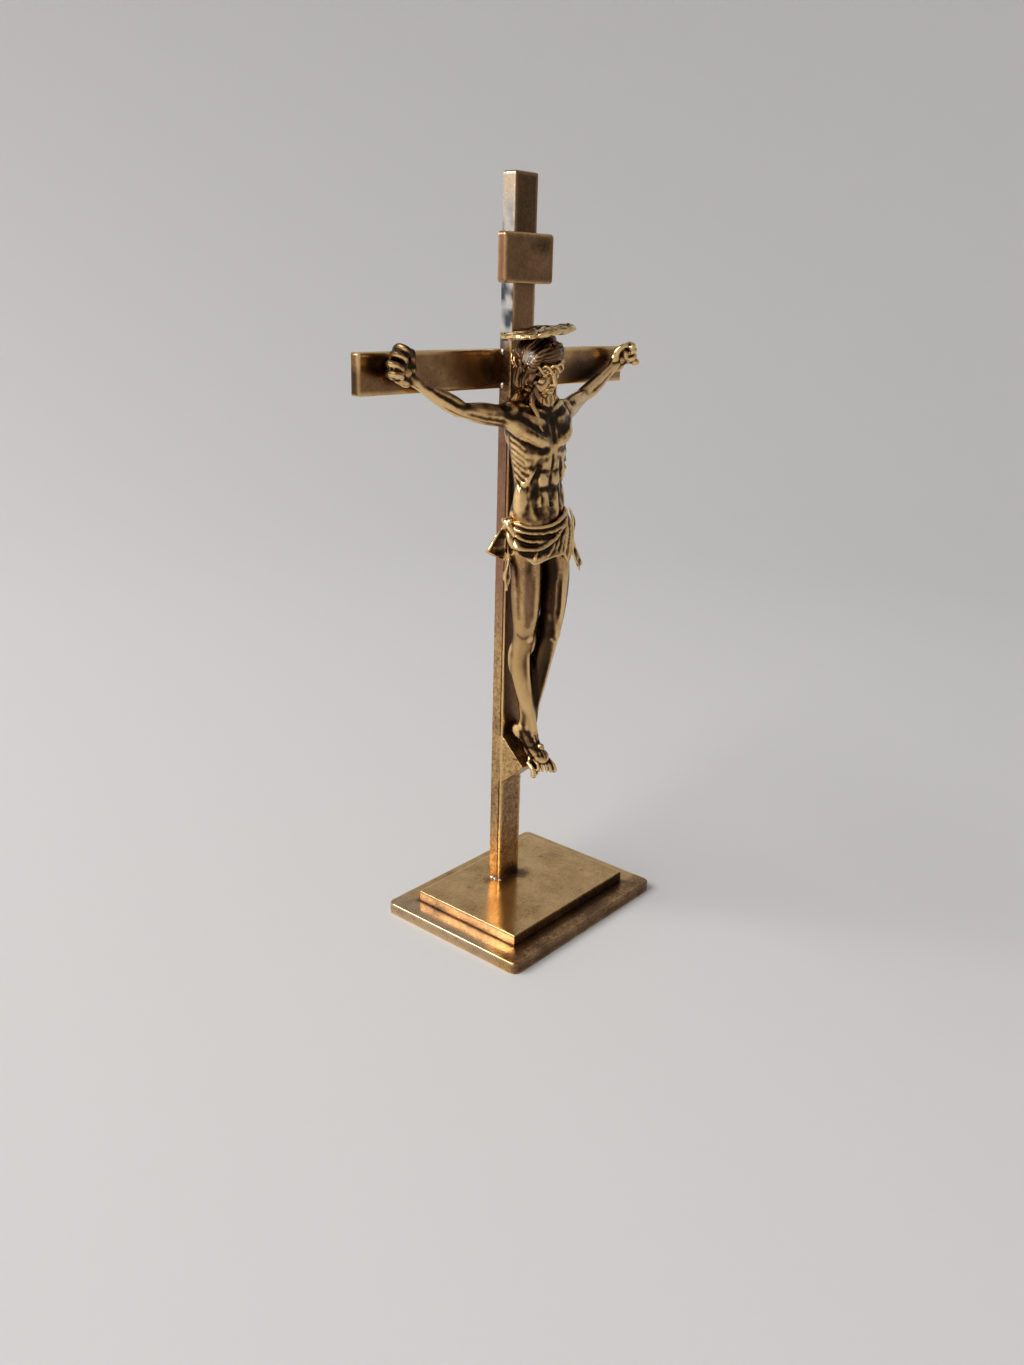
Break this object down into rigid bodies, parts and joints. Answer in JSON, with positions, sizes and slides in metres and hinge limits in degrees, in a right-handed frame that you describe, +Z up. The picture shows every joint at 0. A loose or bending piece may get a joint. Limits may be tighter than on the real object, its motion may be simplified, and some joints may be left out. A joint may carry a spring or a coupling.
{
  "type": "table crucifix",
  "caption": "Free-standing brass table crucifix: stepped base, flat-bar cross with bare title plaque and footrest, and a nailed cast figure with crown and halo.",
  "frame": {"origin": "centre of the base's underside", "axes": "+Z up along the post, -Y the side that the figure faces, +X the figure's left"},
  "size_m": [0.1131, 0.054, 0.22],
  "materials": {
    "polished_brass": "polished, darkened in the corners",
    "patinated_brass": "brown patina, edges rubbed bright",
    "cast_brass": "cast, dark patina in the hollows, high points polished",
    "solder": "bright solder",
    "turned_brass": "turned brass"
  },
  "bodies": {
    "root": {"base_plate": "polished_brass", "base_step": "polished_brass", "base_screws": "turned_brass", "post": "patinated_brass", "post_solder": "solder", "crossbeam": "patinated_brass", "crossing_solder": "solder", "title_plaque": "patinated_brass", "plaque_pins": "cast_brass", "footrest": "patinated_brass", "footrest_pin": "cast_brass", "corpus_body": "cast_brass", "right_arm": "cast_brass", "left_arm": "cast_brass", "crown_of_thorns": "cast_brass", "halo": "cast_brass", "halo_pin": "cast_brass", "right_hand_nail": "cast_brass", "left_hand_nail": "cast_brass", "foot_nail": "cast_brass"}
  },
  "joints": []
}
